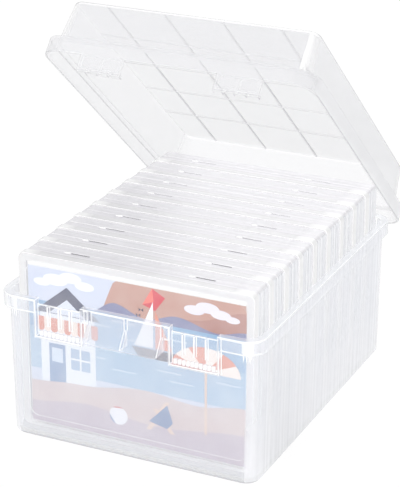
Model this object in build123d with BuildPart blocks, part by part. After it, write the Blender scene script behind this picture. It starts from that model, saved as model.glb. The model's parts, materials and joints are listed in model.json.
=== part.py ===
from build123d import *
import os
from math import cos, radians, sin, tan

# Photo keeper case: a clear bin with a pull handle and two latch pockets, a lid on a
# hook hinge behind it, and a row of upright photo cases, each a cover and a tray.
# Frame: X to the right along the front, Y to the back, Z up. The origin is the centre
# of the bin's underside. The lid is drawn open, at LID_OPEN_ANGLE from closed.

# ---------------------------------------------------------------- driving sizes, mm
# Picture card in the first case, and the room round it in the case
CARD_WIDTH = 153.6
CARD_HEIGHT = 111.6
CARD_THICKNESS = 0.4
CARD_GAP = 0.1              # card to the cover's face
CARD_SIDE_GAP = 3.7         # card to the case's side wall
CARD_TOP_GAP = 3.35         # card to the case's top and bottom walls
# Row of photo cases
CASE_COUNT = 9
CASE_DEPTH = 23.2
CASE_SPACE = 0.4            # between one case and the next
CASE_CORNER = 4.0
CASE_SEAT_GAP = 0.1         # case above the bin's floor
CASE_WALL = 1.2
BAND_DEPTH = 6.5            # full-size band round the cover's face
BAND_STEP = 0.8             # body behind the band is smaller by this much all round
COVER_DEPTH = 14.0
SEAM_GAP = 0.2
PANEL_MARGIN = 5.0          # cover's sunk panel to the sides of the face
PANEL_TOP_MARGIN = 7.3      # and to its top and bottom
PANEL_SINK = 0.4
PANEL_CORNER = 6.0
SLOT_SPACING = 88.0         # between the two latch slots in the top
SLOT_LENGTH = 14.0
SLOT_WIDTH = 1.4
SLOT_SETBACK = 1.4          # slot's middle in front of the cover's rear edge
TONGUE_LENGTH = 3.0         # tray's tongue inside the cover
TONGUE_WALL = 1.0
TONGUE_FIT = 0.2
LATCH_PLAY = 1.0            # latch bump shorter than its slot, in all
LATCH_BUMP = 0.5            # latch bump above the tongue
PEG_RADIUS = 1.4            # pivot pegs of the tray in the cover's sides
PEG_FIT = 0.2
PEG_HEIGHT = 6.0            # peg's axis above the case's underside
# Bin, round the row of cases
ROW_SIDE_GAP = 3.2          # case to the bin's side wall, at its foot
ROW_FRONT_GAP = 6.75        # first case to the front wall
ROW_BACK_GAP = 2.15         # last case to the back wall
BIN_CORNER = 10.0           # upright corners
BIN_DRAFT = 0.7             # degrees, walls lean outwards
BIN_WALL = 1.8
FLOOR_THICKNESS = 2.0       # above the foot
FOOT_HEIGHT = 1.4
FOOT_INSET = 1.2
# Rim of the bin, a channel that is open below
RIM_TOP = 100.6
RIM_HEIGHT = 9.6
RIM_OVERHANG = 3.4
RIM_WALL = 1.5
# Latch pockets in the front of the rim
POCKET_SPACING = 95.0       # between the middles of the two pockets
POCKET_WIDTH = 32.0         # inside
POCKET_WALL = 1.4
POCKET_HEIGHT = 25.1        # rim's top down to the pocket's floor
POCKET_NOTCH = 4.0          # bin wall's top edge below the rim's top
POCKET_RIB_COUNT = 3
POCKET_RIB_PITCH = 7.9
POCKET_RIB_THICKNESS = 1.2
POCKET_RIB_SETBACK = 1.0    # rib's face behind the rim's face
POCKET_RIB_HEIGHT = 14.0
# Pull handle between the pockets
HANDLE_WIDTH = 53.0
HANDLE_HEIGHT = 20.4
HANDLE_FLARE = 7.0          # lower edge in front of the rim's face; the flare starts below the rim
HANDLE_WALL = 1.8
HANDLE_RIB = 1.4
HANDLE_CORNER = 3.0
# Lid
LID_OPEN_ANGLE = 40.9       # degrees from closed, as drawn
LID_WALL = 1.4
LID_CLEARANCE = 1.2         # skirt's inside to the rim's face
SKIRT_LIFT = 0.3            # skirt's lower edge above the rim's lower edge, and shoulder above the rim
SHOULDER_INSET = 5.6        # crown's foot inside the skirt's face
LID_HEADROOM = 3.6          # tops of the cases to the grid under the closed lid
CROWN_DRAFT = 5.8           # degrees, crown leans inwards
CROWN_EDGE = 3.5            # rounding of the crown's top edge
TOP_THICKNESS = 1.8
GRID_PITCH_X = 40.4
GRID_PITCH_Y = 42.0
GRID_X_COUNT = 4
GRID_Y_COUNT = 4
GRID_RIB_WIDTH = 1.2
GRID_RIB_HEIGHT = 0.8
# Latch tabs under the lid's skirt
TAB_CLEARANCE = 0.5         # to each side wall of the pocket
TAB_LENGTH = 11.5           # below the skirt
TAB_HOOK_DEPTH = 3.4
TAB_HOOK_HEIGHT = 2.0
TAB_HOOK_GAP = 0.5          # hook's tooth to the pocket's rib
TAB_PANEL_WIDTH = 11.5      # each of the two sunk panels in a tab's face
TAB_PANEL_HEIGHT = 8.0
TAB_PANEL_PITCH = 14.5
TAB_PANEL_RISE = 3.0        # above the tab's lower edge
TAB_PANEL_SINK = 0.5
TAB_PANEL_CORNER = 3.0
# Hook hinge
HINGE_HEIGHT = 75.0
HINGE_REACH = 7.2           # pin's axis behind the bin's wall
HINGE_SPACING = 104.0       # between the two hooks
HINGE_PIN_RADIUS = 2.0
HINGE_FIT = 0.3
HOOK_WALL = 2.0
HOOK_WIDTH = 12.0
HOOK_ARM_THICKNESS = 3.0
LUG_THICKNESS = 3.0
LUG_RADIUS = 4.0
LUG_FOOT_HEIGHT = 18.0
LUG_SIDE_GAP = 0.4

# ---------------------------------------------------------------- worked-out sizes
BIN_SPREAD = tan(radians(BIN_DRAFT))
CROWN_SLOPE = tan(radians(CROWN_DRAFT))
CASE_WIDTH = CARD_WIDTH + 2 * (CARD_SIDE_GAP + CASE_WALL + BAND_STEP)
CASE_HEIGHT = CARD_HEIGHT + 2 * (CARD_TOP_GAP + CASE_WALL + BAND_STEP)
CASE_PITCH = CASE_DEPTH + CASE_SPACE
ROW_LENGTH = CASE_COUNT * CASE_PITCH - CASE_SPACE
# Bin's outside at the foot of its walls
BIN_WIDTH = CASE_WIDTH + 2 * (ROW_SIDE_GAP + BIN_WALL)
BIN_DEPTH = ROW_LENGTH + ROW_FRONT_GAP + ROW_BACK_GAP + 2 * BIN_WALL
ROW_FRONT = -BIN_DEPTH / 2 + BIN_WALL + ROW_FRONT_GAP


def wall_width(z):
    """Outside width of the bin's walls at height z."""
    return BIN_WIDTH + 2 * (z - FOOT_HEIGHT) * BIN_SPREAD


def wall_depth(z):
    """Outside depth of the bin's walls at height z."""
    return BIN_DEPTH + 2 * (z - FOOT_HEIGHT) * BIN_SPREAD


FLOOR_TOP = FOOT_HEIGHT + FLOOR_THICKNESS
CASE_BOTTOM = FLOOR_TOP + CASE_SEAT_GAP
CASE_MIDDLE = CASE_BOTTOM + CASE_HEIGHT / 2
RIM_BOTTOM = RIM_TOP - RIM_HEIGHT
RIM_WIDTH = wall_width(RIM_TOP) + 2 * RIM_OVERHANG
RIM_DEPTH = wall_depth(RIM_TOP) + 2 * RIM_OVERHANG
RIM_CORNER = BIN_CORNER + RIM_OVERHANG
RIM_FRONT = -RIM_DEPTH / 2
WALL_FRONT = -wall_depth(RIM_TOP) / 2
POCKET_FLOOR = RIM_TOP - POCKET_HEIGHT
POCKET_ROOT = -wall_depth(POCKET_FLOOR) / 2 + BIN_WALL / 2
POCKETS = [-POCKET_SPACING / 2, POCKET_SPACING / 2]
RIB_FRONT = RIM_FRONT + POCKET_RIB_SETBACK
RIB_BOTTOM = RIM_TOP - POCKET_NOTCH - POCKET_RIB_HEIGHT
HANDLE_BOTTOM = RIM_TOP - HANDLE_HEIGHT
HANDLE_FRONT = RIM_FRONT - HANDLE_FLARE

HINGE_Y = wall_depth(HINGE_HEIGHT) / 2 + HINGE_REACH
HINGES = [-HINGE_SPACING / 2, HINGE_SPACING / 2]
OPEN = radians(LID_OPEN_ANGLE)
# The lid's own plane: its origin is on the hinge axis, and turning it back by
# LID_OPEN_ANGLE brings its Y and Z parallel to the bin's.
LID_PLANE = Plane(origin=(0, HINGE_Y, HINGE_HEIGHT), x_dir=(1, 0, 0), z_dir=(0, sin(OPEN), cos(OPEN)))
SKIRT_INNER_WIDTH = RIM_WIDTH + 2 * LID_CLEARANCE
SKIRT_INNER_DEPTH = RIM_DEPTH + 2 * LID_CLEARANCE
SKIRT_WIDTH = SKIRT_INNER_WIDTH + 2 * LID_WALL
SKIRT_DEPTH = SKIRT_INNER_DEPTH + 2 * LID_WALL
SKIRT_CORNER = RIM_CORNER + LID_CLEARANCE + LID_WALL
CROWN_WIDTH = SKIRT_WIDTH - 2 * SHOULDER_INSET
CROWN_DEPTH = SKIRT_DEPTH - 2 * SHOULDER_INSET
CROWN_CORNER = SKIRT_CORNER - SHOULDER_INSET
# Heights in the lid's plane, measured from the hinge axis with the lid closed
SKIRT_LOW = RIM_BOTTOM + SKIRT_LIFT - HINGE_HEIGHT
SHOULDER_LOW = RIM_TOP + SKIRT_LIFT - HINGE_HEIGHT
SHOULDER_HIGH = SHOULDER_LOW + LID_WALL
CEILING = CASE_BOTTOM + CASE_HEIGHT + LID_HEADROOM + GRID_RIB_HEIGHT - HINGE_HEIGHT
CROWN_HEIGHT = CEILING + TOP_THICKNESS - SHOULDER_HIGH
CAVITY_HEIGHT = CEILING - SHOULDER_LOW
CEILING_WIDTH = CROWN_WIDTH - 2 * LID_WALL - 2 * CAVITY_HEIGHT * CROWN_SLOPE
CEILING_DEPTH = CROWN_DEPTH - 2 * LID_WALL - 2 * CAVITY_HEIGHT * CROWN_SLOPE
SKIRT_FRONT = -HINGE_Y - SKIRT_DEPTH / 2
SKIRT_BACK = -HINGE_Y + SKIRT_DEPTH / 2
TAB_WIDTH = POCKET_WIDTH - 2 * TAB_CLEARANCE
TAB_LOW = SKIRT_LOW - TAB_LENGTH

BODY_WIDTH = CASE_WIDTH - 2 * BAND_STEP
BODY_HEIGHT = CASE_HEIGHT - 2 * BAND_STEP
BODY_CORNER = CASE_CORNER - BAND_STEP
CAVITY_WIDTH = BODY_WIDTH - 2 * CASE_WALL
CAVITY_TALL = BODY_HEIGHT - 2 * CASE_WALL
CAVITY_CORNER = BODY_CORNER - CASE_WALL
TONGUE_WIDTH = CAVITY_WIDTH - 2 * TONGUE_FIT
TONGUE_TALL = CAVITY_TALL - 2 * TONGUE_FIT
TONGUE_CORNER = CAVITY_CORNER - TONGUE_FIT
SLOT_POSITIONS = [-SLOT_SPACING / 2, SLOT_SPACING / 2]


def facing(y):
    """Plane across the box at depth y, seen from the front, with its middle at the cases' middle."""
    return Plane(origin=(0, y, CASE_MIDDLE), x_dir=(1, 0, 0), z_dir=(0, -1, 0))


def save(part, name):
    """Label a finished piece and write it."""
    part.label = name
    export_step(part, f"parts/{name}.step")


os.makedirs("parts", exist_ok=True)

# ---------------------------------------------------------------- bin
with BuildPart() as base_bin:
    # foot, walls and rim as one block
    with BuildSketch(Plane.XY):
        RectangleRounded(BIN_WIDTH - 2 * FOOT_INSET, BIN_DEPTH - 2 * FOOT_INSET, BIN_CORNER - FOOT_INSET)
    extrude(amount=FOOT_HEIGHT)
    with BuildSketch(Plane.XY.offset(FOOT_HEIGHT)):
        RectangleRounded(BIN_WIDTH, BIN_DEPTH, BIN_CORNER)
    extrude(amount=RIM_TOP - FOOT_HEIGHT, taper=-BIN_DRAFT)
    with BuildSketch(Plane.XY.offset(RIM_BOTTOM)):
        RectangleRounded(RIM_WIDTH, RIM_DEPTH, RIM_CORNER)
    extrude(amount=RIM_HEIGHT)
    # inside of the bin
    with BuildSketch(Plane.XY.offset(FLOOR_TOP)):
        RectangleRounded(
            wall_width(FLOOR_TOP) - 2 * BIN_WALL, wall_depth(FLOOR_TOP) - 2 * BIN_WALL, BIN_CORNER - BIN_WALL
        )
    extrude(amount=RIM_TOP - FLOOR_TOP, taper=-BIN_DRAFT, mode=Mode.SUBTRACT)
    # channel under the rim
    with BuildSketch(Plane.XY.offset(RIM_BOTTOM)):
        RectangleRounded(RIM_WIDTH - 2 * RIM_WALL, RIM_DEPTH - 2 * RIM_WALL, RIM_CORNER - RIM_WALL)
        RectangleRounded(wall_width(RIM_TOP), wall_depth(RIM_TOP), BIN_CORNER, mode=Mode.SUBTRACT)
    extrude(amount=RIM_HEIGHT - RIM_WALL, mode=Mode.SUBTRACT)

    # latch pockets: the rim is cut away, and a floor and two cheeks stand out to its face
    for x in POCKETS:
        with BuildSketch(Plane.XY.offset(RIM_BOTTOM)):
            with Locations((x, (WALL_FRONT + RIM_FRONT) / 2)):
                Rectangle(POCKET_WIDTH, RIM_OVERHANG)
        extrude(amount=RIM_HEIGHT, mode=Mode.SUBTRACT)
        with BuildSketch(Plane.XY.offset(RIM_TOP - POCKET_NOTCH)):
            with Locations((x, WALL_FRONT)):
                Rectangle(POCKET_WIDTH, 3 * BIN_WALL)
        extrude(amount=POCKET_NOTCH, mode=Mode.SUBTRACT)
        with BuildSketch(Plane.XY.offset(POCKET_FLOOR - POCKET_WALL)):
            with Locations((x, (POCKET_ROOT + RIM_FRONT) / 2)):
                Rectangle(POCKET_WIDTH + 2 * POCKET_WALL, POCKET_ROOT - RIM_FRONT)
        extrude(amount=POCKET_WALL)
        for side in (-1, 1):
            with BuildSketch(Plane.XY.offset(POCKET_FLOOR)):
                with Locations((x + side * (POCKET_WIDTH + POCKET_WALL) / 2, (POCKET_ROOT + RIM_FRONT) / 2)):
                    Rectangle(POCKET_WALL, POCKET_ROOT - RIM_FRONT)
            extrude(amount=POCKET_HEIGHT)
        with BuildSketch(Plane.XY.offset(RIB_BOTTOM)):
            with Locations((x, (POCKET_ROOT + RIB_FRONT) / 2)):
                with GridLocations(POCKET_RIB_PITCH, 0, POCKET_RIB_COUNT, 1):
                    Rectangle(POCKET_RIB_THICKNESS, POCKET_ROOT - RIB_FRONT)
        extrude(amount=POCKET_RIB_HEIGHT)

    # pull handle: a hood that leans out below the rim's face, where the skirt ends, and is open below
    with BuildSketch(Plane.XZ.offset(-WALL_FRONT)):
        with Locations((0, RIM_TOP)):
            Rectangle(HANDLE_WIDTH, HANDLE_HEIGHT, align=(Align.CENTER, Align.MAX))
        fillet(vertices().group_by(Axis.Y)[0], HANDLE_CORNER)
    extrude(amount=WALL_FRONT - HANDLE_FRONT)
    with BuildSketch(Plane.YZ):
        with BuildLine():
            Polyline(
                (RIM_FRONT, RIM_TOP), (RIM_FRONT, RIM_BOTTOM), (HANDLE_FRONT, HANDLE_BOTTOM),
                (HANDLE_FRONT - HANDLE_FLARE, HANDLE_BOTTOM), (HANDLE_FRONT - HANDLE_FLARE, RIM_TOP),
                close=True,
            )
        make_face()
    extrude(amount=HANDLE_WIDTH / 2, both=True, mode=Mode.SUBTRACT)
    for side in (-1, 1):
        start = HANDLE_RIB / 2
        stop = HANDLE_WIDTH / 2 - HANDLE_WALL
        with BuildSketch(Plane.YZ.offset(side * (start + stop) / 2)):
            with BuildLine():
                Polyline(
                    (WALL_FRONT, RIM_TOP - RIM_WALL),
                    (RIM_FRONT + HANDLE_WALL, RIM_TOP - RIM_WALL),
                    (RIM_FRONT + HANDLE_WALL, RIM_BOTTOM),
                    (HANDLE_FRONT + HANDLE_WALL, HANDLE_BOTTOM),
                    (WALL_FRONT, HANDLE_BOTTOM),
                    close=True,
                )
            make_face()
        extrude(amount=(stop - start) / 2, both=True, mode=Mode.SUBTRACT)

    # hinge lugs and their pins, behind the bin
    for x in HINGES:
        for side in (-1, 1):
            lug_x = x + side * (HOOK_WIDTH / 2 + LUG_SIDE_GAP + LUG_THICKNESS / 2)
            with BuildSketch(Plane.YZ.offset(lug_x)):
                with BuildLine():
                    Polyline(
                        (HINGE_Y - HINGE_REACH - BIN_WALL / 2, HINGE_HEIGHT + LUG_RADIUS),
                        (HINGE_Y, HINGE_HEIGHT + LUG_RADIUS),
                        (HINGE_Y, HINGE_HEIGHT - LUG_RADIUS),
                        (HINGE_Y - HINGE_REACH - BIN_WALL / 2, HINGE_HEIGHT + LUG_RADIUS - LUG_FOOT_HEIGHT),
                        close=True,
                    )
                make_face()
                with Locations((HINGE_Y, HINGE_HEIGHT)):
                    Circle(LUG_RADIUS)
            extrude(amount=LUG_THICKNESS / 2, both=True)
        with BuildSketch(Plane.YZ.offset(x)):
            with Locations((HINGE_Y, HINGE_HEIGHT)):
                Circle(HINGE_PIN_RADIUS)
        extrude(amount=HOOK_WIDTH / 2 + LUG_SIDE_GAP + LUG_THICKNESS / 2, both=True)
save(base_bin.part, "base_bin")

# ---------------------------------------------------------------- lid
with BuildPart() as lid:
    with BuildSketch(LID_PLANE.offset(SKIRT_LOW)):
        with Locations((0, -HINGE_Y)):
            RectangleRounded(SKIRT_WIDTH, SKIRT_DEPTH, SKIRT_CORNER)
    extrude(amount=SHOULDER_HIGH - SKIRT_LOW)
    with BuildSketch(LID_PLANE.offset(SHOULDER_HIGH)):
        with Locations((0, -HINGE_Y)):
            RectangleRounded(CROWN_WIDTH, CROWN_DEPTH, CROWN_CORNER)
    extrude(amount=CROWN_HEIGHT, taper=CROWN_DRAFT)
    crown_top = lid.faces().sort_by(Axis(LID_PLANE.origin, LID_PLANE.z_dir))[-1]
    fillet(crown_top.edges(), CROWN_EDGE)
    # inside of the skirt and of the crown
    with BuildSketch(LID_PLANE.offset(SKIRT_LOW)):
        with Locations((0, -HINGE_Y)):
            RectangleRounded(SKIRT_INNER_WIDTH, SKIRT_INNER_DEPTH, SKIRT_CORNER - LID_WALL)
    extrude(amount=SHOULDER_LOW - SKIRT_LOW, mode=Mode.SUBTRACT)
    with BuildSketch(LID_PLANE.offset(SHOULDER_LOW)):
        with Locations((0, -HINGE_Y)):
            RectangleRounded(CROWN_WIDTH - 2 * LID_WALL, CROWN_DEPTH - 2 * LID_WALL, CROWN_CORNER - LID_WALL)
    extrude(amount=CAVITY_HEIGHT, taper=CROWN_DRAFT, mode=Mode.SUBTRACT)
    # shallow grid under the top
    with BuildSketch(LID_PLANE.offset(CEILING - GRID_RIB_HEIGHT)):
        with Locations((0, -HINGE_Y)):
            with GridLocations(GRID_PITCH_X, 0, GRID_X_COUNT, 1):
                Rectangle(GRID_RIB_WIDTH, CEILING_DEPTH)
            with GridLocations(0, GRID_PITCH_Y, 1, GRID_Y_COUNT):
                Rectangle(CEILING_WIDTH, GRID_RIB_WIDTH)
    extrude(amount=GRID_RIB_HEIGHT + TOP_THICKNESS / 2)

    # latch tabs, each with a row of hook teeth that pass between the pocket's ribs
    for x in POCKETS:
        with BuildSketch(LID_PLANE.offset(TAB_LOW)):
            with Locations((x, SKIRT_FRONT + LID_WALL / 2)):
                Rectangle(TAB_WIDTH, LID_WALL)
        extrude(amount=TAB_LENGTH + LID_WALL)
        with BuildSketch(LID_PLANE.offset(TAB_LOW)):
            with Locations((x, SKIRT_FRONT + LID_WALL + TAB_HOOK_DEPTH / 2)):
                Rectangle(TAB_WIDTH, TAB_HOOK_DEPTH)
                with GridLocations(POCKET_RIB_PITCH, 0, POCKET_RIB_COUNT, 1):
                    Rectangle(POCKET_RIB_THICKNESS + 2 * TAB_HOOK_GAP, TAB_HOOK_DEPTH, mode=Mode.SUBTRACT)
        extrude(amount=TAB_HOOK_HEIGHT)
        tab_face = Plane(
            origin=LID_PLANE.from_local_coords((x, SKIRT_FRONT, TAB_LOW + TAB_PANEL_RISE)),
            x_dir=(1, 0, 0), z_dir=-LID_PLANE.y_dir,
        )
        with BuildSketch(tab_face):
            with GridLocations(TAB_PANEL_PITCH, 0, 2, 1):
                Rectangle(TAB_PANEL_WIDTH, TAB_PANEL_HEIGHT, align=(Align.CENTER, Align.MIN))
            fillet(vertices().group_by(Axis.Y)[-1], TAB_PANEL_CORNER)
        extrude(amount=-TAB_PANEL_SINK, mode=Mode.SUBTRACT)

    # hinge hooks: an arm down from the skirt with an eye round the pin
    hinge_side = Plane(origin=LID_PLANE.origin, x_dir=LID_PLANE.y_dir, z_dir=LID_PLANE.x_dir)
    for x in HINGES:
        with BuildSketch(hinge_side.offset(x)):
            with Locations((SKIRT_BACK - LID_WALL, 0)):
                Rectangle(HOOK_ARM_THICKNESS, SHOULDER_LOW, align=(Align.MIN, Align.MIN))
            Circle(HINGE_PIN_RADIUS + HINGE_FIT + HOOK_WALL)
            Circle(HINGE_PIN_RADIUS + HINGE_FIT, mode=Mode.SUBTRACT)
        extrude(amount=HOOK_WIDTH / 2, both=True)
save(lid.part, "lid")


# ---------------------------------------------------------------- photo cases
def make_cover(front):
    """Front shell of one photo case, with its face at depth front."""
    rear = front + COVER_DEPTH
    peg_y = rear - TONGUE_LENGTH / 2
    with BuildPart() as cover:
        with BuildSketch(facing(front)):
            RectangleRounded(CASE_WIDTH, CASE_HEIGHT, CASE_CORNER)
        extrude(amount=-BAND_DEPTH)
        with BuildSketch(facing(front)):
            RectangleRounded(BODY_WIDTH, BODY_HEIGHT, BODY_CORNER)
        extrude(amount=-COVER_DEPTH)
        with BuildSketch(facing(front + PANEL_SINK + CASE_WALL)):
            RectangleRounded(CAVITY_WIDTH, CAVITY_TALL, CAVITY_CORNER)
        extrude(amount=-(COVER_DEPTH - PANEL_SINK - CASE_WALL), mode=Mode.SUBTRACT)
        with BuildSketch(facing(front)):
            RectangleRounded(CASE_WIDTH - 2 * PANEL_MARGIN, CASE_HEIGHT - 2 * PANEL_TOP_MARGIN, PANEL_CORNER)
        extrude(amount=-PANEL_SINK, mode=Mode.SUBTRACT)
        with BuildSketch(Plane.XY.offset(CASE_BOTTOM + CASE_HEIGHT)):
            for x in SLOT_POSITIONS:
                with Locations((x, rear - SLOT_SETBACK)):
                    SlotOverall(SLOT_LENGTH, SLOT_WIDTH)
        extrude(amount=-(CASE_WALL + 2 * BAND_STEP), mode=Mode.SUBTRACT)
        with BuildSketch(Plane.YZ):
            with Locations((peg_y, CASE_BOTTOM + PEG_HEIGHT)):
                Circle(PEG_RADIUS + PEG_FIT)
        extrude(amount=CASE_WIDTH / 2, both=True, mode=Mode.SUBTRACT)
    return cover.part


def make_tray(front):
    """Rear shell of one photo case whose cover's face is at depth front."""
    cover_rear = front + COVER_DEPTH
    tray_front = cover_rear + SEAM_GAP
    rear = front + CASE_DEPTH
    tongue_front = cover_rear - TONGUE_LENGTH
    tongue_top = CASE_MIDDLE + TONGUE_TALL / 2
    with BuildPart() as tray:
        with BuildSketch(facing(tray_front)):
            RectangleRounded(BODY_WIDTH, BODY_HEIGHT, BODY_CORNER)
        extrude(amount=-(rear - tray_front))
        with BuildSketch(facing(tongue_front)):
            RectangleRounded(TONGUE_WIDTH, TONGUE_TALL, TONGUE_CORNER)
        extrude(amount=-(tray_front - tongue_front))
        with BuildSketch(facing(tongue_front)):
            RectangleRounded(TONGUE_WIDTH - 2 * TONGUE_WALL, TONGUE_TALL - 2 * TONGUE_WALL, TONGUE_CORNER)
        extrude(amount=-(rear - CASE_WALL - tongue_front), mode=Mode.SUBTRACT)
        with BuildSketch(Plane.XY.offset(tongue_top - TONGUE_WALL / 2)):
            for x in SLOT_POSITIONS:
                with Locations((x, cover_rear - SLOT_SETBACK)):
                    SlotOverall(SLOT_LENGTH - LATCH_PLAY, SLOT_WIDTH - LATCH_PLAY / 2)
        extrude(amount=TONGUE_WALL / 2 + LATCH_BUMP)
        for side in (-1, 1):
            with BuildSketch(Plane.YZ.offset(side * (TONGUE_WIDTH - TONGUE_WALL) / 2)):
                with Locations((cover_rear - TONGUE_LENGTH / 2, CASE_BOTTOM + PEG_HEIGHT)):
                    Circle(PEG_RADIUS)
            extrude(amount=side * (TONGUE_WALL / 2 + TONGUE_FIT + CASE_WALL / 2))
    return tray.part


for number in range(CASE_COUNT):
    case_front = ROW_FRONT + number * CASE_PITCH
    save(make_cover(case_front), f"case_{number + 1}_cover")
    save(make_tray(case_front), f"case_{number + 1}_tray")

# ---------------------------------------------------------------- picture card
card_face = ROW_FRONT + PANEL_SINK + CASE_WALL + CARD_GAP
with BuildPart() as picture_card:
    with BuildSketch(facing(card_face)):
        Rectangle(CARD_WIDTH, CARD_HEIGHT)
    extrude(amount=-CARD_THICKNESS)
save(picture_card.part, "picture_card")
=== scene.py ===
"""Photo keeper case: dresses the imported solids, adds fine trim and lights a plain studio."""

import json
import logging
import math
from collections.abc import Callable
from dataclasses import dataclass, field
from enum import Enum

import bmesh
import bpy
from mathutils import Matrix, Vector

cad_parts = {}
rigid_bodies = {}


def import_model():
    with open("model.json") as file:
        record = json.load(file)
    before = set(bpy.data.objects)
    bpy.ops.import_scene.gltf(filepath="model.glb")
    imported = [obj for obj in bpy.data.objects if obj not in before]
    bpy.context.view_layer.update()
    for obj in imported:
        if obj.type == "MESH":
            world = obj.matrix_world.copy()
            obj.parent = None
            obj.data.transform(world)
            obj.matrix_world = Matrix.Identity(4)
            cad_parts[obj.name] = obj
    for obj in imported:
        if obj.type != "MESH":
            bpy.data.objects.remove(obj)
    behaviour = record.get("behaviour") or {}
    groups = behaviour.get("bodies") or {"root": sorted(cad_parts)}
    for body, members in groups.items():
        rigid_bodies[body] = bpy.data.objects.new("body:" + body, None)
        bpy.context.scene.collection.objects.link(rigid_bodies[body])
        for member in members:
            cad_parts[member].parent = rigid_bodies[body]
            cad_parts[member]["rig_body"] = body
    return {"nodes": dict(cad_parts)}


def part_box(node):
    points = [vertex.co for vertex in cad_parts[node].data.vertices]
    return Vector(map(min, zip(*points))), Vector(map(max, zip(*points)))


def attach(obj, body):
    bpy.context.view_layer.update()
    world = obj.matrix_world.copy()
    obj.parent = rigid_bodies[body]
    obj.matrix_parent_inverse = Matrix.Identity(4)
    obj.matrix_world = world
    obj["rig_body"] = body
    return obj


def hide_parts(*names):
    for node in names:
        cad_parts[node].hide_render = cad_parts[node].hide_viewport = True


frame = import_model()
log = logging.getLogger("photo_keeper")

Point = tuple[float, float]
Place = tuple[float, float, float]
Colour = tuple[float, float, float]
Node = bpy.types.Node
Socket = bpy.types.NodeSocket
Material = bpy.types.Material
Mesh = bpy.types.Mesh
Object = bpy.types.Object
BMFace = bmesh.types.BMFace
Amount = Socket | float
Tint = Socket | Colour
Values = dict[str | int, object]
FacePicker = Callable[[BMFace], int]

MM = 0.001
PLASTIC_IOR = 1.49
CARD_IOR = 1.45
WHITE: Colour = (1.0, 1.0, 1.0)
UNIT: Point = (0.0, 1.0)

# How a solid's mesh is cleaned and its edges are rounded: sizes in mm, angles in degrees.
WELD_REACH = 0.002
FLAT_ANGLE = 0.5
CORNER_ANGLE = 40.0
ROUNDED_SHARE = 0.4
ROUND_STEPS = 2
SPAN_PLACES = (0.1, 0.5, 0.9)
LEAST_SPAN = 0.01
RUN_ON_COSINE = -0.8


class Slot(Enum):
    """The record's material slots."""

    BIN = "clear_bin"
    LID = "clear_lid"
    CASE = "clear_case"
    PRINT = "picture_print"


class BinFace(Enum):
    """Kinds of face on the bin, each with its own finish."""

    SHELL = 0
    SIDE = 1
    FOOT = 2
    EDGE = 3


class LidFace(Enum):
    """Kinds of face on the lid, each with its own finish."""

    SHELL = 0
    RIB_SIDE = 1
    CROWN_EDGE = 2
    CROWN_CORNER = 3
    EDGE = 4


class CaseFace(Enum):
    """Kinds of face on a photo case, each with its own finish."""

    PANEL = 0
    TOP = 1
    FLANK = 2
    BAND = 3
    FRONT = 4
    SLOT = 5
    EDGE = 6


class Ink(Enum):
    """The inks of the printed picture, as display values from 0 to 255."""

    SKY = (206, 214, 234)
    DUSK = (190, 146, 134)
    DEEP_DUSK = (172, 124, 116)
    CLOUD = (238, 242, 251)
    DIM_CLOUD = (230, 227, 240)
    KITE_RED = (208, 42, 66)
    KITE_PINK = (236, 108, 98)
    KITE_TAIL = (52, 58, 92)
    HILLS = (122, 126, 164)
    SEA = (132, 170, 206)
    SHALLOWS = (158, 188, 216)
    WAVE = (200, 218, 236)
    HULL = (34, 42, 74)
    CHALK = (242, 246, 252)
    JIB = (222, 132, 108)
    HUT_WALL = (234, 240, 250)
    ROOF = (44, 54, 92)
    GABLE = (216, 224, 242)
    AWNING_RED = (216, 116, 84)
    AWNING_CREAM = (248, 230, 218)
    DOOR = (104, 140, 184)
    DOOR_PANE = (204, 220, 240)
    WINDOW = (144, 174, 208)
    SAND = (206, 188, 188)
    WET_SAND = (186, 174, 188)
    POLE = (226, 196, 176)
    PARASOL_RED = (222, 126, 96)
    PARASOL_CREAM = (250, 236, 228)
    CHAIR_WOOD = (228, 198, 180)
    CHAIR_CLOTH = (88, 122, 168)
    BALL_WHITE = (238, 242, 250)
    BALL_RED = (198, 88, 90)
    BALL_BLUE = (98, 134, 180)
    PEBBLE = (190, 180, 196)


# ---------------------------------------------------------------- finishes


def new_node(
    tree: bpy.types.NodeTree, kind: str, values: Values, settings: dict[str, object]
) -> Node:
    """Add a node to a tree.

    Args:
        tree: The tree.
        kind: The node's type.
        values: Input names or numbers, each with a plain value or a socket to link.
        settings: Properties of the node itself.

    Returns:
        The new node.
    """
    node = tree.nodes.new(kind)
    for key, value in settings.items():
        setattr(node, key, value)
    for key, value in values.items():
        if isinstance(value, Socket):
            tree.links.new(value, node.inputs[key])
        elif isinstance(value, tuple) and len(value) == 3 and node.inputs[key].type == "RGBA":
            node.inputs[key].default_value = (*value, 1.0)
        else:
            node.inputs[key].default_value = value
    return node


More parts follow.
